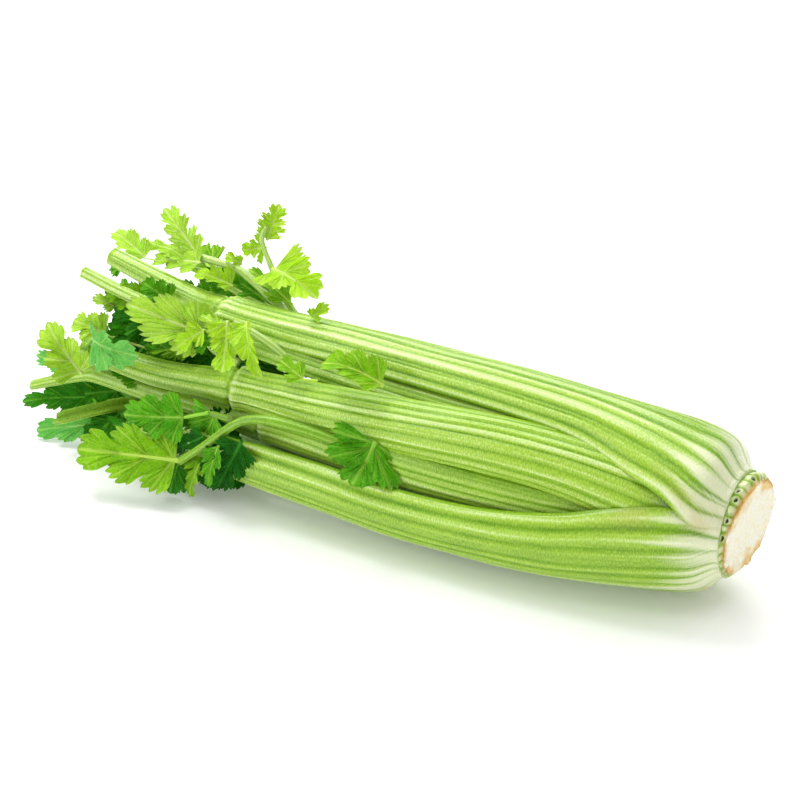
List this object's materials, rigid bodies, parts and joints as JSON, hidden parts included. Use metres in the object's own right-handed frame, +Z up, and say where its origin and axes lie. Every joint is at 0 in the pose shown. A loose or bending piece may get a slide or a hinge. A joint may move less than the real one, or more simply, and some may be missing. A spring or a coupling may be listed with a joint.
{
  "type": "head of celery",
  "caption": "Trimmed head of celery lying on its side: ribbed green stalks nested round a cut root crown, with leaf stems and toothed leaflets at the far end.",
  "frame": {"origin": "centre of the head's bounding box, on the surface that it lies on", "axes": "+X along the head from the leaves to the root crown, +Z up"},
  "size_m": [0.3943, 0.1458, 0.1278],
  "materials": {
    "stalk": "fresh waxy ribbed skin, pale green ridges and darker grooves, white towards the root crown",
    "stem": "fresh waxy green stem, lightly ribbed",
    "leaf": "thin soft green leaf with pale veins, slight sheen",
    "crown": "cut cream-white flesh with a drying tan rim"
  },
  "bodies": {
    "root": {"root_crown": "crown", "stalk_top": "stalk", "stalk_front": "stalk", "stalk_front_upper": "stalk", "stalk_under": "stalk", "stalk_back": "stalk", "stalk_front_under": "stalk", "stalk_back_under": "stalk", "stalk_back_upper": "stalk", "inner_top": "stalk", "inner_front": "stalk", "inner_under": "stalk", "inner_back": "stalk", "heart_front": "stalk", "heart_back": "stalk", "side_stem_front": "stem", "side_stem_front_short": "stem", "side_stem_top": "stem", "side_stem_upright": "stem", "side_stem_left": "stem", "side_stem_fan": "stem", "side_stem_heart": "stem", "side_stem_back": "stem", "leaf_front_large": "leaf", "leaf_front_behind": "leaf", "leaf_front_hanging": "leaf", "leaf_low_dark": "leaf", "leaf_low_bright": "leaf", "leaf_low_inner": "leaf", "leaf_left_end": "leaf", "leaf_left_dark": "leaf", "leaf_left_low": "leaf", "leaf_left_floor": "leaf", "leaf_left_pale": "leaf", "leaf_left_small": "leaf", "leaf_left_upper": "leaf", "leaf_blue_green": "leaf", "leaf_fan": "leaf", "leaf_fan_dark": "leaf", "leaf_small_pale": "leaf", "leaf_bright_hanging": "leaf", "leaf_curled": "leaf", "leaf_over_stalk": "leaf", "leaf_on_stalk": "leaf", "leaf_under_stalk": "leaf", "leaf_top_spear": "leaf", "leaf_top_flat": "leaf", "leaf_top_left": "leaf", "leaf_top_fan": "leaf", "leaf_top_end": "leaf", "leaf_top_side": "leaf", "leaf_top_long": "leaf", "leaf_shade_upper": "leaf", "leaf_back_long": "leaf", "leaf_back_out": "leaf", "leaf_back_low": "leaf", "leaf_back_upper": "leaf", "leaf_heart_long": "leaf", "leaf_heart_low": "leaf"}
  },
  "joints": []
}
